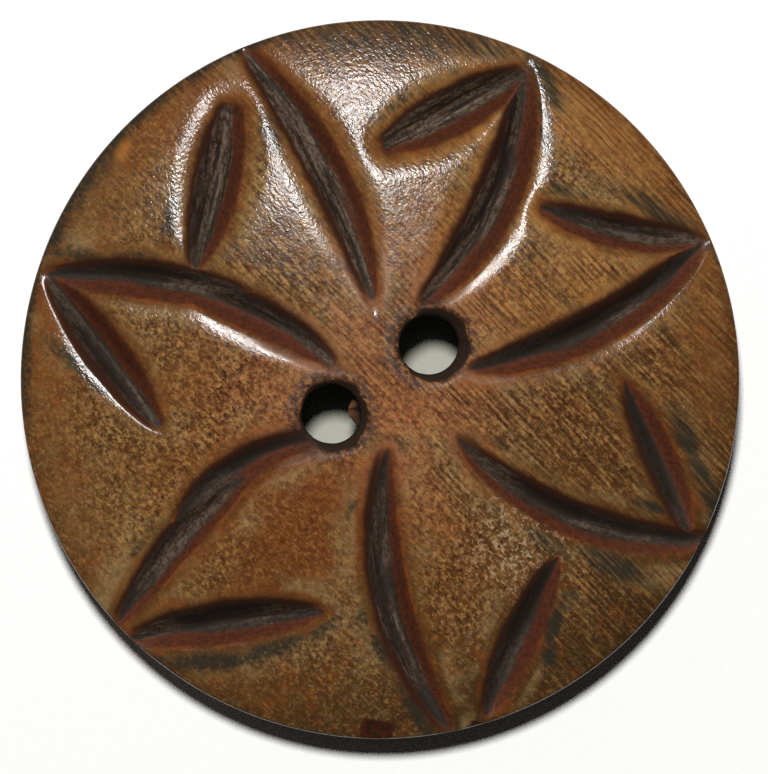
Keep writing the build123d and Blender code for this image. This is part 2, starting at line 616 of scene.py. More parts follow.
class FaceBench(NodeBench):
    """A bench with the feeds that the layers of the button's finish share."""

    def __init__(self, name: str, grain_turn: float, mouths: Sequence[Patch]) -> None:
        """Lays out the feeds.

        Args:
            name: The material's name.
            grain_turn: The grain's lean from Y, in degrees.
            mouths: The dirty patches round the sewing holes.
        """
        super().__init__(name)
        self.place = self.find_place()
        self.flat = self.scaled(self.place, (1.0, 1.0, 0.0))
        self.lie = self.turned(self.place, grain_turn)
        self.reach = self.add("ShaderNodeVectorMath", {0: self.flat}, operation="LENGTH").outputs["Value"]
        apart = self.add("ShaderNodeSeparateXYZ", {0: self.place})
        self.across = apart.outputs["X"]
        self.upward = apart.outputs["Y"]
        wander = self.step(self.mottle(self.place, 1.6), 0.25, 0.75, -0.035, 0.035)
        self.gap = self.plus(self.trait(Trait.CUT_GAP), wander)
        drift = self.step(self.mottle(self.place, 0.22), 0.3, 0.7, -3.0, 3.0)
        self.grained = self.step(self.plus(self.across, drift), -5.5, 2.5)
        self.mouths = self.most(*[self.near(self.flat, mouth) for mouth in mouths])
        self.grit = self.mottle(self.scaled(self.lie, (1.0, 0.75, 1.0)), 5.2, 2, 0.7)
        self.stipple = self.mottle(self.scaled(self.lie, (1.0, 0.7, 1.0)), 6.0, 2, 0.6)
        self.glints = self.mottle(self.scaled(self.lie, (1.0, 0.7, 1.0)), 8.5, 1, 0.6)
        self.fibres = self.mottle(self.scaled(self.lie, (7.5, 0.8, 1.0)), 1.0, 2, 0.55)

    def patched(self, colour: Feed, tone: Feed, patch: Patch) -> Socket:
        """A colour with a patch of a tone."""
        return self.blend(self.near(self.flat, patch), colour, tone)

    def grain_lines(self) -> Socket:
        """Fine dark lines along the grain.

        Returns:
            The lines' strength, from 0 to 1.
        """
        feeds = {
            "Vector": self.scaled(self.lie, (1.0, 0.13, 0.13)),
            "Scale": 1.3,
            "Distortion": 7.0,
            "Detail": 2.0,
            "Detail Scale": 1.2,
        }
        wave = self.add("ShaderNodeTexWave", feeds, bands_direction="X").outputs["Fac"]
        clear = self.mottle(self.scaled(self.lie, (1.2, 0.25, 0.2)), 1.0)
        return self.times(self.step(wave, 0.55, 0.1), self.step(clear, 0.36, 0.62, 0.15, 1.0))


@dataclass(frozen=True)
class BurnishedStain:
    """The button's finish: stained, hand-burnished natural material that is dark in the cuts, with some
    painted light and shade.

    The marks of each layer are in millimetres where they read a distance, and shares where they read noise.
    """

    # Tones of the uncut face
    orange: Colour = srgb(114, 72, 34)
    gold: Colour = srgb(154, 107, 57)
    red: Colour = srgb(146, 90, 58)
    russet: Colour = srgb(104, 54, 20)
    khaki: Colour = srgb(110, 87, 51)
    moss: Colour = srgb(126, 104, 68)
    umber: Colour = srgb(48, 29, 17)
    rust: Colour = srgb(70, 38, 21)
    cream: Colour = srgb(162, 120, 68)
    ember: Colour = srgb(74, 43, 20)
    flame: Colour = srgb(118, 60, 24)
    # Painted shade: darkens the face's lower side, which faces away from the key light, toward the rim
    lower_shade: Colour = srgb(44, 34, 18)
    # Painted sparkle: pale specks in one patch, standing in for glints off the rough surface
    painted_sparkle: Colour = srgb(156, 138, 114)
    dye: Colour = srgb(38, 37, 30)
    # Tones of the cuts
    oxblood: Colour = srgb(82, 42, 25)
    # Dark soot tone of the cuts; it also paints shade on each cut's shaded wall
    soot_and_shade: Colour = srgb(40, 25, 18)
    slate: Colour = srgb(34, 32, 28)
    plum: Colour = srgb(46, 41, 36)
    ash: Colour = srgb(108, 90, 73)
    # Tones of the holes and marks
    bore: Colour = srgb(38, 32, 26)
    lip: Colour = srgb(44, 31, 25)
    crumb: Colour = srgb(124, 84, 60)
    flake: Colour = srgb(58, 28, 16)
    scuff: Colour = srgb(168, 108, 48)
    # Patches of the face
    gold_patch: Patch = Patch(12.0, 2.0, 10.5, 2.0, 0.85)
    russet_patch: Patch = Patch(-6.0, -3.4, 5.5, 1.5, 0.88)
    smooth_patch: Patch = Patch(-6.0, -3.4, 5.5, 1.5, 0.5)
    umber_patch: Patch = Patch(5.0, -6.5, 5.0, 1.5, 0.35)
    # Painted sparkle patch
    painted_sparkle_patch: Patch = Patch(0.8, -9.0, 3.2, 0.8, 0.75)
    # Painted light: the cut floors toward the key light are paler
    lit_floor_patch: Patch = Patch(4.5, 8.5, 9.5, 5.0, 0.8)
    mouths: tuple[Patch, ...] = (Patch(2.5, 0.0, 2.2, 1.65), Patch(-2.5, 0.0, 2.2, 1.65))
    # Grain, gloss and relief
    grain_turn: float = 8.6
    least_rough: float = 0.14
    worn_rough: float = 0.21
    cut_rough: float = 0.7
    bore_rough: float = 0.6
    dull_rough: float = 0.5
    refraction: float = 1.5
    gloss: float = 0.1
    relief: float = 0.011

    def make(self) -> bpy.types.Material:
        """Builds the finish.

        Returns:
            The material.
        """
        bench = FaceBench("burnished_stain", self.grain_turn, self.mouths)
        colour = self.ground(bench)
        for layer in (self.edged, self.textured, self.dyed, self.cut, self.marked):
            colour = layer(bench, colour)
        bench.dress({"Base Color": colour})
        self.surface(bench)
        return bench.material

    def ground(self, bench: FaceBench) -> Socket:
        """The broad colours of the uncut face, with painted shade on its lower side and round its rim.

        Args:
            bench: The material's bench.

        Returns:
            The colour.
        """
        clouds = bench.mottle(bench.place, 0.16, 3)
        bands = bench.mottle(bench.scaled(bench.lie, (1.1, 0.12, 0.1)), 1.0)
        blots = bench.mottle(bench.place, 0.55, 3, 0.6)
        warm = bench.tinted(self.orange, Tint(self.red, bench.reach, 9.0, 2.5))
        warm = bench.patched(warm, self.gold, self.gold_patch)
        clouded = bench.times(bench.step(clouds, 0.38, 0.62), bench.step(bench.across, 7.0, -6.0, 0.15, 0.8))
        outward = bench.step(bench.reach, 2.5, 7.5, 0.2, 1.0)
        banded = bench.times(bench.step(bands, 0.46, 0.62, 0.0, 0.75), bench.grained, outward)
        colour = bench.blend(bench.most(clouded, banded), warm, self.khaki)
        colour = bench.patched(colour, self.russet, self.russet_patch)
        colour = bench.tinted(
            colour,
            Tint(self.russet, bench.reach, 11.5, 14.5, 0.3),
            Tint(self.umber, blots, 0.52, 0.8, 0.45),
        )
        colour = bench.patched(colour, self.umber, self.umber_patch)
        outward = bench.step(bench.reach, 4.0, 15.0)
        leftward = bench.step(bench.across, 12.0, 5.0, 0.5, 0.92)
        return bench.tinted(
            colour,
            Tint(self.umber, bench.across, 3.0, -6.0, 0.13),
            # Painted shade: darker all round the rim, where the face curves away
            Tint(self.umber, bench.reach, 14.2, 14.95, 0.4),
            # Painted shade: darker toward the lower side and the rim, away from the key light
            Tint(self.lower_shade, bench.upward, 2.0, -15.0, 1.0, (outward, leftward)),
        )

    def edged(self, bench: FaceBench, colour: Feed) -> Socket:
        """Deepens the colour beside the cuts, beyond a paler rub in places.

        Args:
            bench: The material's bench.
            colour: The colour so far.

        Returns:
            The colour.
        """
        rubbed = bench.band(bench.gap, (0.3, 0.6, 0.8, 1.9))
        some = bench.step(bench.mottle(bench.place, 0.4), 0.42, 0.62, 0.0, 0.65)
        colour = bench.blend(bench.times(rubbed, some), colour, self.moss)
        vivid = bench.step(bench.mottle(bench.place, 0.6), 0.36, 0.6, 0.25, 0.8)
        return bench.tinted(colour, Tint(self.ember, bench.gap, 0.46, 0.12, 1.0, (vivid,)))

    def textured(self, bench: FaceBench, colour: Feed) -> Socket:
        """Adds the pores, the stipple, the fibres, the grain lines and a patch of painted sparkle.

        Args:
            bench: The material's bench.
            colour: The colour so far.

        Returns:
            The colour.
        """
        zones = bench.times(
            bench.step(bench.mottle(bench.place, 0.3), 0.36, 0.64, 0.65, 1.0),
            bench.step(bench.reach, 14.2, 11.0, 0.45, 1.0),
            bench.step(bench.gap, 0.2, 0.9, 0.35, 1.0),
            bench.step(bench.grained, 0.0, 1.0, 1.0, 0.85),
            bench.less(1.0, bench.near(bench.flat, self.smooth_patch)),
        )
        drawn = bench.times(zones, bench.step(bench.grained, 0.0, 1.0, 0.35, 1.6))
        pores = bench.mottle(bench.scaled(bench.lie, (1.0, 0.8, 1.0)), 2.3, 3, 0.65)
        blush = bench.mottle(bench.scaled(bench.lie, (1.0, 0.6, 1.0)), 1.4, 3, 0.65)
        specks = bench.times(bench.plus(bench.grit, bench.glints), 0.5)
        # Painted sparkle: where the pale specks of the sparkle patch go
        painted_sparkle_share = bench.near(bench.flat, self.painted_sparkle_patch)
        return bench.tinted(
            colour,
            Tint(self.umber, pores, 0.52, 0.34, 0.48, (zones,)),
            Tint(self.moss, pores, 0.5, 0.68, 0.3, (zones,)),
            Tint(self.flame, blush, 0.5, 0.7, 0.42),
            Tint(self.umber, bench.fibres, 0.52, 0.36, 0.55, (drawn,)),
            Tint(self.cream, bench.fibres, 0.5, 0.66, 0.4, (drawn,)),
            Tint(self.rust, bench.grit, 0.58, 0.34, 0.85, (zones,)),
            Tint(self.cream, specks, 0.46, 0.7, 0.75, (zones,)),
            Tint(self.umber, bench.stipple, 0.5, 0.3, 0.9, (zones,)),
            Tint(self.painted_sparkle, specks, 0.5, 0.64, 1.0, (painted_sparkle_share,)),
            Tint(self.umber, bench.gap, 0.2, 0.9, 0.55, (bench.grained, bench.grain_lines())),
        )

    def dyed(self, bench: FaceBench, colour: Feed) -> Socket:
        """Adds the dye left on the shoulders of the cuts and along the rim.

        Args:
            bench: The material's bench.
            colour: The colour so far.

        Returns:
            The colour.
        """
        beside = bench.band(bench.gap, (0.25, 0.45, 0.6, 1.1))
        some = bench.step(bench.mottle(bench.place, 0.45), 0.56, 0.72, 0.0, 0.6)
        placed = bench.most(bench.times(beside, some), bench.trait(Trait.DYE))
        broken = bench.less(0.62, bench.mix(bench.grained, bench.stipple, bench.fibres))
        strength = bench.times(placed, bench.plus(0.75, bench.times(broken, 2.4)))
        return bench.tinted(colour, Tint(self.dye, strength, 0.0, 1.0, 0.9))

    def cut(self, bench: FaceBench, colour: Feed) -> Socket:
        """Adds the colours of the cuts: dark red walls and a grey, fibrous floor, with painted shade on each
        cut's shaded wall and a painted orange edge on its lit side.

        Args:
            bench: The material's bench.
            colour: The colour so far.

        Returns:
            The colour.
        """
        run = bench.trait(Trait.CUT_PLACE)
        side = bench.add("ShaderNodeSeparateXYZ", {0: run}).outputs["X"]
        # The side of each cut toward the shaded bearing, whose wall faces away from the key light: painted
        # shade darkens that wall and carries its colour further out
        shaded = bench.step(side, 0.05, 0.42)
        grain_and_shade = bench.most(bench.step(bench.grit, 0.66, 0.3, 0.0, 0.6), bench.times(shaded, 0.8))
        wall = bench.blend(grain_and_shade, self.oxblood, self.soot_and_shade)
        inside = bench.less(bench.gap, bench.times(shaded, 0.1))
        colour = bench.tinted(colour, Tint(wall, inside, 0.16, -0.12))
        # Painted light: a thin orange line on the cuts' lit edges only, kept off the shaded side
        lit_edge_glow = bench.step(bench.mottle(bench.place, 0.7), 0.44, 0.64, 0.0, 0.5)
        line = bench.band(bench.gap, (-0.06, 0.02, 0.05, 0.14))
        colour = bench.blend(bench.times(line, lit_edge_glow, bench.less(1.0, shaded)), colour, self.flame)

        slots = bench.mottle(bench.scaled(run, (1.5, 0.18, 1.0)), 1.0)
        streaks = bench.mottle(bench.scaled(run, (5.0, 0.36, 1.0)), 1.0, 3, 0.6)
        fibres = bench.mottle(bench.scaled(run, (9.0, 3.0, 1.0)), 1.0, 2, 0.6)
        pale_and_lit = bench.step(bench.mottle(bench.scaled(run, (0.3, 0.2, 1.0)), 1.0, 1), 0.42, 0.62, 0.0, 0.45)
        # Painted light: paler streaks on the cut floors toward the key light, besides the random pale ones
        pale_and_lit = bench.most(pale_and_lit, bench.near(bench.flat, self.lit_floor_patch))
        floor = bench.tinted(
            self.slate,
            Tint(self.plum, slots, 0.4, 0.56),
            Tint(self.ash, streaks, 0.4, 0.6, 1.0, (pale_and_lit,)),
            Tint(self.soot_and_shade, fibres, 0.56, 0.38, 0.6),
            Tint(self.soot_and_shade, bench.stipple, 0.54, 0.34, 0.7),
        )
        # The floor colour sits off the keel, shifted toward the shaded side: partly painted shade
        keel = bench.plus(bench.trait(Trait.CUT_FLOOR), bench.step(slots, 0.3, 0.7, -0.22, 0.22))
        return bench.tinted(colour, Tint(floor, keel, 0.3, 0.58, 1.0, (bench.step(bench.gap, 0.0, -0.18),)))

    def marked(self, bench: FaceBench, colour: Feed) -> Socket:
        """Adds the scuff, the chips, the dark sewing holes and the crumb.

        Args:
            bench: The material's bench.
            colour: The colour so far.

        Returns:
            The colour.
        """
        colour = bench.blend(bench.trait(Trait.SCUFF), colour, self.scuff)
        flaked = bench.tinted(self.flake, Tint(self.soot_and_shade, bench.grit, 0.4, 0.6))
        colour = bench.blend(bench.trait(Trait.CHIP), colour, flaked)
        grimy = bench.times(bench.mouths, bench.step(bench.grit, 0.62, 0.38, 0.2, 0.8))
        colour = bench.blend(grimy, colour, self.lip)
        bore = bench.trait(Trait.BORE)
        colour = bench.tinted(colour, Tint(self.lip, bore, 0.05, 0.45), Tint(self.bore, bore, 0.55, 1.0))
        return bench.blend(bench.trait(Trait.CRUMB), colour, self.crumb)

    def surface(self, bench: FaceBench) -> None:
        """Sets the gloss and the fine relief.

        Args:
            bench: The material's bench.
        """
        worn = bench.mottle(bench.place, 2.4, 3, 0.6)
        heels = bench.times(bench.step(bench.reach, 6.5, 4.5), bench.step(bench.gap, 0.6, 0.2))
        rough = bench.most(
            bench.step(worn, 0.35, 0.65, self.least_rough, self.worn_rough),
            bench.step(bench.gap, 0.1, -0.2, 0.1, self.cut_rough),
            bench.step(bench.trait(Trait.BORE), 0.5, 1.0, 0.0, self.bore_rough),
            bench.times(bench.most(heels, bench.mouths, bench.trait(Trait.BACK)), self.dull_rough),
        )
        swells = bench.times(bench.mottle(bench.place, 2.6, 1, 0.4), 0.4)
        pits = bench.times(
            bench.glints,
            bench.step(bench.gap, 0.1, 0.4, 0.4, 1.1),
            bench.step(bench.reach, 5.0, 11.0, 0.4, 1.0),
        )
        ridges = bench.times(bench.fibres, bench.grained, bench.step(bench.gap, 0.7, 1.2, 0.0, 0.14))
        feeds = {"Strength": 1.0, "Distance": self.relief * MM, "Height": bench.plus(swells, pits, ridges)}
        bump = bench.add("ShaderNodeBump", feeds)
        bench.dress({"Roughness": rough, "IOR": self.refraction, "Specular IOR Level": self.gloss})
        bench.dress({"Normal": bump.outputs["Normal"]})


@dataclass(frozen=True)
class PaleGround:
    """The floor's finish: matt pale card, with a painted shadow under the button."""

    tone: Colour = (0.82, 0.82, 0.81)
    shade: Colour = (0.78, 0.78, 0.77)
    # Painted shadow: a darker tone under the button, seen through the sewing holes
    under: Colour = (0.34, 0.34, 0.285)
    shadow_patch: Patch = Patch(0.0, 0.0, 12.0, 6.0)
    rough: float = 0.85

    def make(self) -> bpy.types.Material:
        """Builds the finish.

        Returns:
            The material.
        """
        bench = NodeBench("pale_ground")
        place = bench.find_place()
        colour = bench.blend(bench.mottle(place, 3.0, 3), self.shade, self.tone)
        colour = bench.blend(bench.near(place, self.shadow_patch), colour, self.under)
        bench.dress({"Base Color": colour, "Roughness": self.rough})
        return bench.material


@dataclass
class Patchwork:
    """Gathers points, triangles and map corners until they make one mesh."""

    points: list[Array] = field(default_factory=list)
    triangles: list[Array] = field(default_factory=list)
    corners: list[Array] = field(default_factory=list)
    traits: dict[Trait, list[Array]] = field(default_factory=lambda: {trait: [] for trait in Trait})
    count: int = 0

    def add_points(self, points: Array, traits: dict[Trait, Array]) -> Array:
        """Adds points with their traits.

        Args:
            points: Places in millimetres, one to a row.
            traits: Their traits; one that isn't given is 0, and a cut's gap is wide.

        Returns:
            The points' numbers in the mesh.
        """
        for trait, held in self.traits.items():
            shape = (len(points), 3) if trait.is_place else (len(points),)
            blank = np.full(shape, FAR if trait is Trait.CUT_GAP else 0.0)
            held.append(traits.get(trait, blank))
        self.points.append(points)
        self.count += len(points)
        return np.arange(self.count - len(points), self.count)

    def add_triangles(self, triangles: Array, corners: Array) -> None:
        """Adds triangles of three point numbers, with each corner's place on the map."""
        self.triangles.append(triangles)
        self.corners.append(corners)

    def add_band(
        self, upper: Array, lower: Array, top: Array, bottom: Array, step: float, inward: bool = False
    ) -> None:
        """Joins two closed rings of the same count.

        Args:
            upper: The upper ring's point numbers, counter-clockwise from above.
            lower: The lower ring's.
            top: The upper ring's map places, one to a row.
            bottom: The lower ring's.
            step: How far along the map a ring's next point lies.
            inward: True if the band faces its own axis.
        """
        ahead = np.array([step, 0.0])
        next_lower = np.roll(lower, -1)
        first = np.stack([upper, lower, next_lower], 1)
        second = np.stack([upper, next_lower, np.roll(upper, -1)], 1)
        first_map = np.stack([top, bottom, bottom + ahead], 1)
        second_map = np.stack([top, bottom + ahead, top + ahead], 1)
        order = slice(None, None, -1 if inward else 1)
        triangles = np.concatenate([first, second])[:, order]
        self.add_triangles(triangles, np.concatenate([first_map, second_map])[:, order])

    def mesh(self, name: str) -> bpy.types.Mesh:
        """Makes the mesh, in metres, with its map and traits.

        Args:
            name: The mesh's name.

        Returns:
            The mesh.
        """
        made = bpy.data.meshes.new(name)
        triangles = np.concatenate(self.triangles)
        made.from_pydata((np.concatenate(self.points) * MM).tolist(), [], triangles.tolist())
        made.polygons.foreach_set("use_smooth", np.ones(len(triangles), bool))
        layer = made.uv_layers.new(name=BAKE_MAP)
        layer.data.foreach_set("uv", np.concatenate(self.corners).astype(np.float32).ravel())
        for trait, held in self.traits.items():
            values = np.concatenate(held).astype(np.float32).ravel()
            kind, key = ("FLOAT_VECTOR", "vector") if trait.is_place else ("FLOAT", "value")
            made.attributes.new(trait.value, kind, "POINT").data.foreach_set(key, values)
        made.update()
        return made


@dataclass(frozen=True)
class MapLayout:
    """Where the button's surfaces lie on its square map, in shares of the map's side.

    The wall is laid out in level strips at the bottom, and the holes in two upright ones on the right.
    """

    face_middle: tuple[float, float] = (0.35, 0.65)
    face_reach: float = 0.345
    back_middle: tuple[float, float] = (0.855, 0.855)
    back_reach: float = 0.14
    margin: float = 0.005
    strip_count: int = 3
    strip_length: float = 0.99
    strip_height: float = 0.085
    strip_pitch: float = 0.095
    bore_left: float = 0.71
    bore_pitch: float = 0.145
    bore_width: float = 0.135
    bore_low: float = 0.31
    bore_height: float = 0.37

    def wall(self, count: int, share: float) -> Array:
        """Lays out one ring of the wall.

        Args:
            count: How many points it has.
            share: How far down the wall it is, from 0 to 1.

        Returns:
            The ring's map places, one to a row.
        """
        each = count // self.strip_count
        here = np.arange(count)
        strip = here // each
        runs = self.margin + self.strip_length * (here - strip * each) / each
        level = self.margin + self.strip_height * (1 - share)
        return np.column_stack([runs, strip * self.strip_pitch + level])

    def bore(self, count: int, share: float, number: int) -> Array:
        """The map places of a ring of points, at a share of the way down a hole."""
        runs = self.bore_left + self.bore_pitch * number + self.bore_width * (np.arange(count) / count)
        return np.column_stack([runs, np.full(count, self.bore_low + self.bore_height * (1 - share))])


@dataclass
class CarvedButton:
    """The carved two-hole button, in millimetres."""

    # Blank
    radius: float
    crown: float
    rim_height: float = 2.7
    rim_easing: float = 0.35
    rim_turns: tuple[float, ...] = (24.0, 38.0, 51.0, 63.0, 74.0, 83.0, 90.0)
    rim_roll_reach: float = 2.6
    rim_roll: float = 0.036
    # Dye left on the rim
    rim_dye_width: float = 0.6
    rim_dye_strength: float = 0.9
    rim_dye_bearings: tuple[float, float] = (72.0, 146.0)
    rim_dye_fade: tuple[float, float] = (18.0, 10.0)
    rim_dye_ragged: Ripple = Ripple(51.3, 0.25, (0.8, 0.8))
    # Wall, bevel and back
    wall_heights: tuple[float, ...] = (2.1, 1.75, 1.4, 1.1)
    wall_fade: tuple[float, float] = (0.5, 0.2)
    wall_gap: float = 2.0
    wall_dye: float = 0.3
    back_bevel_width: float = 1.3
    back_bevel_height: float = 0.9
    bevel_soft: float = 0.04
    bevel_tuck: float = 0.03
    back_soft: float = 0.06
    # Sewing holes
    hole_spacing: float = 5.0
    hole_radius: float = 1.25
    mouth_radius: float = 1.56
    mouth_offsets: tuple[tuple[float, float], ...] = ((0.15, -0.11), (0.03, -0.12))
    mouth_uneven: Ripple = Ripple(11.9, 0.1, (3.1, 3.1), (9.0, 9.0))
    mouth_blend: float = 0.16
    lip_reach: float = 0.3
    lip_most: float = 0.7
    bore_rows: int = 14
    bore_uneven: Ripple = Ripple(31.7, 0.025, (3.0, 3.0), (7.0, 0.0))
    bore_drift: float = 0.8 / 3
    bore_spare: float = 0.02
    back_chamfer: float = 0.15
    # Gouge cuts
    gouge: GougeProfile = GougeProfile(52.0, 0.5)
    shoulder: GougeProfile = GougeProfile(146.0, 0.3, 0.43, 0.045)
    shoulder_blend: float = 0.2
    edge_blend: float = 0.32
    ridge_blend: float = 0.12
    # Bearing of each cut's shaded side, roughly toward the key light: its wall is painted darker and the
    # floor colour is shifted toward it
    shaded_bearing: float = 115.0
    floor_shift_to_shade: float = 0.3
    least_half_width: float = 0.05
    stroke_spacing: float = 7.3
    wander: Ripple = Ripple(0.3, 0.035, (0.9, 0.4))
    scratches: Ripple = Ripple(40.7, 0.014, (9.0, 0.55))
    scratch_edge: float = 0.25
    # Waviness and chips
    waves: Ripple = Ripple(3.1, 0.012, (0.45, 0.45))
    wave_margin: float = 2.0
    chip_ragged: Ripple = Ripple(21.3, 0.34, (1.9, 1.9))
    chip_edge: tuple[float, float] = (1.04, 0.94)
    chip_dish: int = 4
    # Spread of the mesh's points
    fine_step: float = 0.09
    fine_reach: float = 0.9
    mouth_margin: float = 0.45
    chip_margin: float = 1.3
    least_scuff: float = 0.05
    edge_clear: float = 0.6
    back_ring_inset: float = 0.5
    back_ring_least: float = 4.6
    back_ring_step: float = 0.8
    back_lip: float = 0.12
    rim_count: int = 600
    mouth_count: int = 88
    # Strokes, dirt, map and finish
    cuts: list[GougeCut] = field(default_factory=lambda: LONG_CUTS + SHORT_CUTS)
    crumb: Crumb = Crumb()
    layout: MapLayout = MapLayout()
    finish: BurnishedStain = BurnishedStain()

    @property
    def dome_radius(self) -> float:
        """The radius of the sphere that the face is part of."""
        rise = self.crown - self.rim_height
        return (self.radius**2 + rise**2) / (2 * rise)

    @property
    def face_edge(self) -> float:
        """The radius at which the face meets the eased rim."""
        return self.radius - self.rim_easing

    @property
    def wall_top(self) -> float:
        """The height at which the wall meets the eased rim."""
        return self.rim_height - self.rim_easing

    @property
    def back_edge(self) -> float:
        """The radius of the flat back."""
        return self.radius - self.back_bevel_width - self.back_soft

    @property
    def back_mouth(self) -> float:
        """The radius of a hole at the back."""
        return self.hole_radius + self.back_chamfer

    @property
    def holes(self) -> list[Array]:
        """The middles of the two sewing holes."""
        return [np.array([side * self.hole_spacing / 2, 0.0]) for side in (1, -1)]

    def dome(self, reach: Measure) -> Measure:
        """Height of the uncut face at distances from the middle."""
        return self.crown - self.dome_radius + np.sqrt(self.dome_radius**2 - reach**2)

    def cut_surfaces(self, plan: Array) -> tuple[Array, Array, dict[Trait, Array]]:
        """Works out the gouge cuts at places in plan.

        Args:
            plan: Places, one X and Y to a row.

        Returns:
            Heights over the dome of the gouge's cuts and of the wider shoulders, and the cuts' traits.
        """
        gouged, eased_over, gap, deepest = np.full((4, len(plan)), FAR)
        floor = np.zeros(len(plan))
        place = np.zeros((len(plan), 3))
        for number, cut in enumerate(self.cuts):
            along, across, half = cut.follow(plan, self.radius)
            blunt = cut.past_blunt(along, half)
            share = np.where(blunt > 0, np.sign(along), along / half)
            aside = np.hypot(across + self.wander.numbered(number).at(along, across), blunt)
            depth = cut.keel(share, self.gouge, self.radius)
            height = self.gouge.rise(aside) - depth
            shoulder = self.shoulder.rise(aside) - cut.keel(share, self.shoulder, self.radius)

            half_width = self.gouge.half_width(depth)
            past = np.where(blunt > 0, 0, np.clip(np.abs(along) - half, 0, None))
            own_gap = np.where(past > 0, np.hypot(aside, past), aside - half_width)
            # Distances across, signed toward the shaded side, which the finish paints with shade
            sideways = across * cut.sense(self.shaded_bearing, self.radius)
            rubbed = sideways / np.maximum(half_width, self.least_half_width)
            own_floor = np.where(past > 0, 0, 1 - np.abs(rubbed - self.floor_shift_to_shade))
            own_place = np.stack([sideways, along, np.full(len(plan), self.stroke_spacing * number)], 1)
            nearest = height < deepest
            deepest = np.where(nearest, height, deepest)
            floor = np.where(nearest, own_floor, floor)
            place[nearest] = own_place[nearest]
            gap = np.minimum(gap, own_gap)

            scratch = self.scratches.numbered(number).at(across, along)
            height = height + scratch * eased(own_gap, 0.0, -self.scratch_edge)
            gouged = soft_least(gouged, height, self.ridge_blend)
            eased_over = soft_least(eased_over, shoulder, self.ridge_blend)
        traits = {Trait.CUT_GAP: gap, Trait.CUT_FLOOR: np.clip(floor, 0, 1), Trait.CUT_PLACE: place}
        return gouged, eased_over, traits

    def face(self, plan: Array) -> tuple[Array, dict[Trait, Array]]:
        """Works out the carved face at places in plan.

        Args:
            plan: Places, one X and Y to a row.

        Returns:
            The face's heights and its traits.
        """
        reach = lengths(plan)
        gouged, shoulders, traits = self.cut_surfaces(plan)
        drop = soft_least(np.zeros(len(plan)), shoulders, self.shoulder_blend)
        drop = soft_least(drop, gouged, self.edge_blend)
        waves = self.waves.depth + self.waves.at(plan[:, 0], plan[:, 1])
        drop = drop - waves * eased(reach, self.radius, self.radius - self.wave_margin)
        drop = drop - self.rim_roll / 2 * np.clip(reach - self.radius + self.rim_roll_reach, 0, None) ** 2
        bore = np.zeros(len(plan))
        for number, hole in enumerate(self.holes):
            out = plan - hole - self.mouth_offsets[number]
            bearing = np.arctan2(out[:, 1], out[:, 0])
            uneven = self.mouth_uneven.numbered(number).at(np.cos(bearing), np.sin(bearing))
            mouth = lengths(out) - self.mouth_radius - uneven
            drop = soft_least(drop, mouth, self.mouth_blend)
            bore = np.maximum(bore, np.clip(-mouth / self.lip_reach, 0, self.lip_most))
        chip = np.zeros(len(plan))
        for number, flake in enumerate(CHIPS):
            out = flake.offsets(plan, self.radius)
            ragged = self.chip_ragged.numbered(number).at(out[:, 0], out[:, 1])
            away = lengths(out) / flake.reach + ragged
            drop = np.minimum(drop, flake.depth * (away**self.chip_dish - 1))
            chip = np.maximum(chip, eased(away, *self.chip_edge))
        scuff = np.max([mark.cover(plan, self.radius) for mark in SCUFFS], axis=0)
        dye = np.max([mark.cover(plan, self.radius) for mark in DYE_STAINS], axis=0)
        dye = np.maximum(dye, self.rim_dye(plan))
        traits |= {Trait.BORE: bore, Trait.CHIP: chip, Trait.SCUFF: scuff, Trait.DYE: dye}
        return self.dome(reach) + drop, traits

    def rim_dye(self, plan: Array) -> Array:
        """The dye that was never rubbed off the rim.

        Args:
            plan: Places, one X and Y to a row.

        Returns:
            The dye's cover at each place.
        """
        bearing = np.degrees(np.arctan2(plan[:, 1], plan[:, 0])) % 360
        low, high = self.rim_dye_bearings
        before, after = self.rim_dye_fade
        kept = eased(bearing, low - before, low + after) * eased(bearing, high + before, high - after)
        inward = self.radius - lengths(plan) + self.rim_dye_ragged.at(plan[:, 0], plan[:, 1])
        return self.rim_dye_strength * kept * eased(inward, self.rim_dye_width, 0.0)

    def plan_points(self) -> Array:
        """Spreads points over the face, closer together round the cuts, holes, chips and scuffs.

        Returns:
            The points, one X and Y to a row.
        """
        step = self.fine_step
        span = 2 * (int(self.face_edge / step) + 2)
        i, j = np.meshgrid(np.arange(-span, span + 1), np.arange(-span, span + 1))
        x = (i + j / 2) * step
        y = j * step * math.sqrt(3) / 2
        inside = np.hypot(x, y) < self.face_edge - self.edge_clear * step
        plan = np.stack([x[inside], y[inside]], 1)
        coarse = ((i % 2 == 0) & (j % 2 == 0))[inside]
        busy = self.cut_surfaces(plan)[2][Trait.CUT_GAP] < self.fine_reach
        clear = np.ones(len(plan), bool)
        for hole in self.holes:
            away = lengths(plan - hole)
            busy |= away < self.mouth_radius + self.mouth_margin
            clear &= away > self.hole_radius + self.edge_clear * step
        for flake in CHIPS:
            busy |= lengths(flake.offsets(plan, self.radius)) < self.chip_margin * flake.reach
        for mark in SCUFFS:
            busy |= mark.cover(plan, self.radius) > self.least_scuff
        return plan[clear & (busy | coarse)]

    def joined(self, plan: Array, ring_radius: float) -> Array:
        """Joins points in plan with triangles, leaving the sewing holes open.

        Args:
            plan: Places, one X and Y to a row.
            ring_radius: The radius of the ring of points round each hole.

        Returns:
            Three point numbers to a row, counter-clockwise.
        """
        made = delaunay_2d_cdt([Vector(p) for p in plan.tolist()], [], [], 0, JOIN_SLACK, False)
        triangles = np.array(made[2])
        keep = np.ones(len(triangles), bool)
        for hole in self.holes:
            on_ring = np.abs(lengths(plan - hole) - ring_radius) < RING_SLACK
            keep &= ~on_ring[triangles].all(axis=1)
        return triangles[keep]

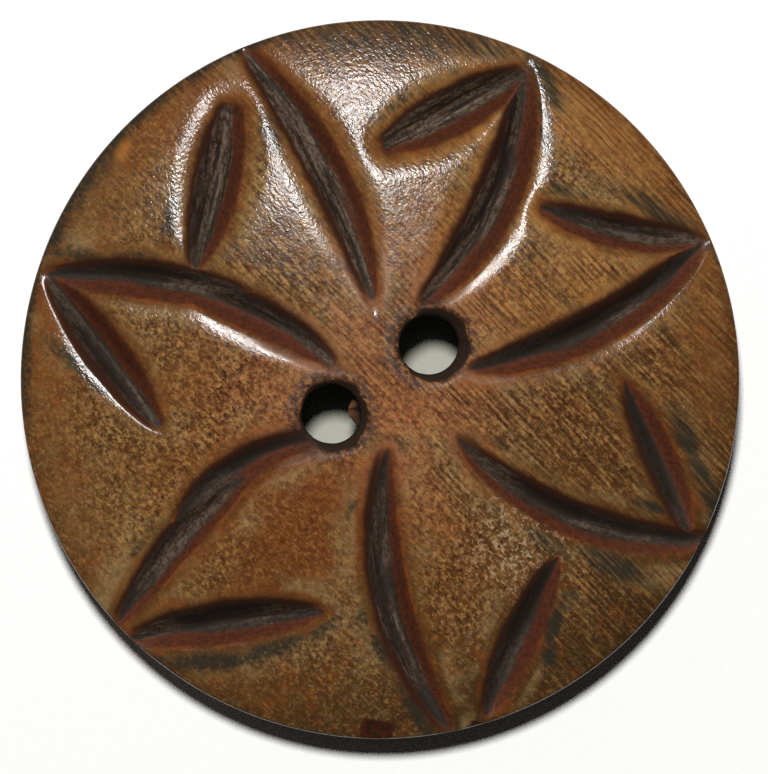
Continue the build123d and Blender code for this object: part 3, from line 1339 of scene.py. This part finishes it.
    def build(self) -> bpy.types.Object:
        """Builds the button's closed mesh and dresses it.

        Returns:
            The button.
        """
        work = Patchwork()
        mouths = [hole + ring_ways(self.mouth_count) * self.hole_radius for hole in self.holes]
        plan = np.concatenate([ring_ways(self.rim_count) * self.face_edge, *mouths, self.plan_points()])
        heights, traits = self.face(plan)
        numbers = work.add_points(np.column_stack([plan, heights]), traits)
        triangles = self.joined(plan, self.hole_radius)
        corners = np.array(self.layout.face_middle) + plan / self.radius * self.layout.face_reach
        work.add_triangles(numbers[triangles], corners[triangles])
        ring_ends = self.rim_count + self.mouth_count * np.arange(len(mouths) + 1)
        rim_ring, *mouth_rings = np.split(numbers, ring_ends)[:-1]
        back_ring = self.build_wall(work, rim_ring)
        back_mouths = [
            self.build_bore(work, number, ring, heights[ring]) for number, ring in enumerate(mouth_rings)
        ]
        self.build_back(work, back_ring, back_mouths)
        button = put_in_scene("carved_button", work.mesh("carved_button"))
        button.data.materials.append(self.finish.make())
        return button

    def wall_profile(self) -> list[tuple[float, float]]:
        """The eased rim, the wall and the bevel, from the face's edge to the back.

        Returns:
            A distance from the middle and a height for each ring of points.
        """
        rise = self.dome(self.face_edge) - self.wall_top
        profile = []
        for turn in np.radians(self.rim_turns):
            reach = self.face_edge + self.rim_easing * math.sin(turn)
            profile.append((reach, self.wall_top + rise * math.cos(turn)))
        profile += [(self.radius, height) for height in self.wall_heights]
        return profile + [
            (self.radius, self.back_bevel_height + self.bevel_soft),
            (self.radius - self.bevel_tuck, self.back_bevel_height - self.bevel_soft),
            (self.radius - self.back_bevel_width / 2, self.back_bevel_height / 2),
            (self.radius - self.back_bevel_width + self.bevel_soft, self.bevel_tuck),
            (self.back_edge, 0.0),
        ]

    def build_wall(self, work: Patchwork, rim_ring: Array) -> Array:
        """Builds the eased rim, the wall and the bevel.

        Args:
            work: The button's patchwork.
            rim_ring: The face's outer ring of points.

        Returns:
            The outer ring of the back.
        """
        count = self.rim_count
        profile = self.wall_profile()
        map_step = self.layout.strip_length / (count // self.layout.strip_count)
        below, above = self.wall_fade
        upper = rim_ring
        for row, (reach, height) in enumerate(profile):
            plan = ring_ways(count) * reach
            face, traits = self.face(plan)
            kept = eased(height, self.wall_top - below, self.wall_top + above)
            under = np.clip((self.back_bevel_height - height) / self.back_bevel_height, 0, 1)
            traits[Trait.CUT_GAP] = traits[Trait.CUT_GAP] + self.wall_gap * (1 - kept)
            traits[Trait.CHIP] = traits[Trait.CHIP] * kept
            traits[Trait.DYE] = traits[Trait.DYE] * (self.wall_dye + (1 - self.wall_dye) * kept)
            traits[Trait.BACK] = np.full(count, under)
            lower = work.add_points(np.column_stack([plan, np.minimum(height, face)]), traits)
            top, bottom = (self.layout.wall(count, place / len(profile)) for place in (row, row + 1))
            work.add_band(upper, lower, top, bottom, map_step)
            upper = lower
        return upper

    def build_bore(self, work: Patchwork, number: int, ring: Array, tops: Array) -> Array:
        """Builds the wall of a sewing hole, from its mouth to the back.

        Args:
            work: The button's patchwork.
            number: Which hole it is.
            ring: The mouth's ring of points.
            tops: The heights of those points.

        Returns:
            The hole's ring at the back.
        """
        count = self.mouth_count
        rows = self.bore_rows
        ways = ring_ways(count)
        turns = np.arctan2(ways[:, 1], ways[:, 0])
        uneven = self.bore_uneven.numbered(number)
        upper = ring
        for row in range(1, rows + 1):
            heights = tops + (self.back_chamfer - tops) * min(row / (rows - 1), 1.0)
            lump = self.crumb.lump(number, turns, heights)
            rough = np.minimum(uneven.at(ways[:, 0], ways[:, 1] + self.bore_drift * row), self.bore_spare)
            reach = self.hole_radius + rough - self.crumb.depth * lump
            if row == rows:
                reach = np.full(count, self.back_mouth)
                heights = np.zeros(count)
            points = np.column_stack([self.holes[number] + ways * reach[:, None], heights])
            traits = {Trait.BORE: np.ones(count), Trait.CRUMB: eased(lump, *self.crumb.edge)}
            lower = work.add_points(points, traits)
            top, bottom = (self.layout.bore(count, place / rows, number) for place in (row - 1, row))
            work.add_band(upper, lower, top, bottom, self.layout.bore_width / count, inward=True)
            upper = lower
        return upper

    def build_back(self, work: Patchwork, ring: Array, mouth_rings: list[Array]) -> None:
        """Closes the flat back between its outer ring and the holes.

        Args:
            work: The button's patchwork.
            ring: The outer ring's points.
            mouth_rings: The two holes' rings.
        """
        ways = ring_ways(self.rim_count)
        mouth_ways = ring_ways(self.mouth_count)
        outermost = self.back_edge - self.back_ring_inset
        reaches = np.arange(outermost, self.back_ring_least, -self.back_ring_step)
        spread = [ways[::6] * reach for reach in reaches]
        spread += [hole + mouth_ways[::2] * (self.back_mouth + self.back_lip) for hole in self.holes]
        inner = np.concatenate(spread)
        mouths = [hole + mouth_ways * self.back_mouth for hole in self.holes]
        plan = np.concatenate([ways * self.back_edge, *mouths, inner])
        flat = np.column_stack([inner, np.zeros(len(inner))])
        added = work.add_points(flat, {Trait.BACK: np.ones(len(inner))})
        numbers = np.concatenate([ring, *mouth_rings, added])
        triangles = self.joined(plan, self.back_mouth)[:, ::-1]
        mirrored = plan * [-1, 1] / self.back_edge
        corners = np.array(self.layout.back_middle) + mirrored * self.layout.back_reach
        work.add_triangles(numbers[triangles], corners[triangles])


class LampPlan(NamedTuple):
    """How a light hangs: its lean from straight above, its bearing in the picture, its width and power."""

    lean: float
    bearing: float
    size: float
    watts: float


@dataclass
class Studio:
    """The floor, the lights and the camera that looks straight down."""

    rim_height: float
    pixels_per_mm: float = 24.0
    middle_pixel: tuple[float, float] = (380.0, 379.5)
    row_turn: float = 35.4
    lens: float = 300.0
    sensor: float = 36.0
    nearest_sight: float = 10.0
    key: LampPlan = LampPlan(19.0, 98.0, 94.0, 4.6)
    fill: LampPlan = LampPlan(62.0, 150.0, 420.0, 0.1)
    lamp_distance: float = 600.0
    sky: float = 0.022
    floor_size: float = 3000.0
    floor_drop: float = 0.01
    softness: float = 1.35
    ground: PaleGround = PaleGround()

    def towards(self, bearing: float) -> Vector:
        """A level direction from its bearing in the picture, where 0 is right and 90 is up."""
        turn = math.radians(bearing - self.row_turn)
        return Vector((math.cos(turn), math.sin(turn), 0.0))

    def build_floor(self) -> None:
        """Lays the floor under the button."""
        half = self.floor_size / 2 * MM
        corners = [(-half, -half, 0), (half, -half, 0), (half, half, 0), (-half, half, 0)]
        data = bpy.data.meshes.new("floor")
        data.from_pydata(corners, [], [(0, 1, 2, 3)])
        data.materials.append(self.ground.make())
        floor = put_in_scene("floor", data)
        floor.location.z = -self.floor_drop * MM

    def build_camera(self) -> None:
        """Sets the camera over the button, turned as the picture is."""
        data = bpy.data.cameras.new("camera")
        data.lens = self.lens
        data.sensor_width = self.sensor
        data.clip_start = self.nearest_sight * MM
        wide, high = FRAME_PIXELS
        distance = max(wide, high) / self.pixels_per_mm * self.lens / self.sensor
        right = self.towards(0)
        up = self.towards(90)
        aside = (wide / 2 - self.middle_pixel[0]) / self.pixels_per_mm
        above = (self.middle_pixel[1] - high / 2) / self.pixels_per_mm
        where = right * aside + up * above + Vector((0, 0, self.rim_height + distance))
        axes = Matrix((right, up, Vector((0, 0, 1)))).transposed()
        camera = put_in_scene("camera", data)
        camera.matrix_world = Matrix.Translation(where * MM) @ axes.to_4x4()
        bpy.context.scene.camera = camera

    def build_lamp(self, lamp: Lamp, plan: LampPlan) -> None:
        """Hangs a round soft light that faces the button.

        Args:
            lamp: Which light it is.
            plan: How it hangs.
        """
        data = bpy.data.lights.new(lamp.value, "AREA")
        data.shape = "DISK"
        data.size = plan.size * MM
        data.energy = plan.watts
        tilt = math.radians(plan.lean)
        way = self.towards(plan.bearing) * math.sin(tilt) + Vector((0, 0, math.cos(tilt)))
        light = put_in_scene(lamp.value, data)
        light.location = way * self.lamp_distance * MM
        light.rotation_euler = way.to_track_quat("Z", "Y").to_euler()

    def build(self) -> None:
        """Builds the whole studio."""
        self.build_floor()
        self.build_camera()
        self.build_lamp(Lamp.KEY, self.key)
        self.build_lamp(Lamp.FILL, self.fill)
        world = bpy.data.worlds.new("studio")
        world.use_nodes = True
        background = world.node_tree.nodes["Background"]
        background.inputs["Color"].default_value = (1.0, 1.0, 1.0, 1.0)
        background.inputs["Strength"].default_value = self.sky
        scene = bpy.context.scene
        scene.world = world
        scene.view_settings.view_transform = "Standard"
        scene.cycles.use_denoising = False
        scene.cycles.filter_width = self.softness


def main() -> None:
    """Builds the button and the studio."""
    logging.basicConfig(level=logging.INFO, format="%(message)s")
    low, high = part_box("button")
    form = CarvedButton(radius=min(high.x - low.x, high.y - low.y) / 2 / MM, crown=high.z / MM)
    button = form.build()
    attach(button, "root")
    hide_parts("button")
    log.info("%s: %d points, %d faces", button.name, len(button.data.vertices), len(button.data.polygons))
    Studio(rim_height=form.rim_height).build()
    log.info("studio: floor, camera and lights")


if __name__ == "__main__":
    main()
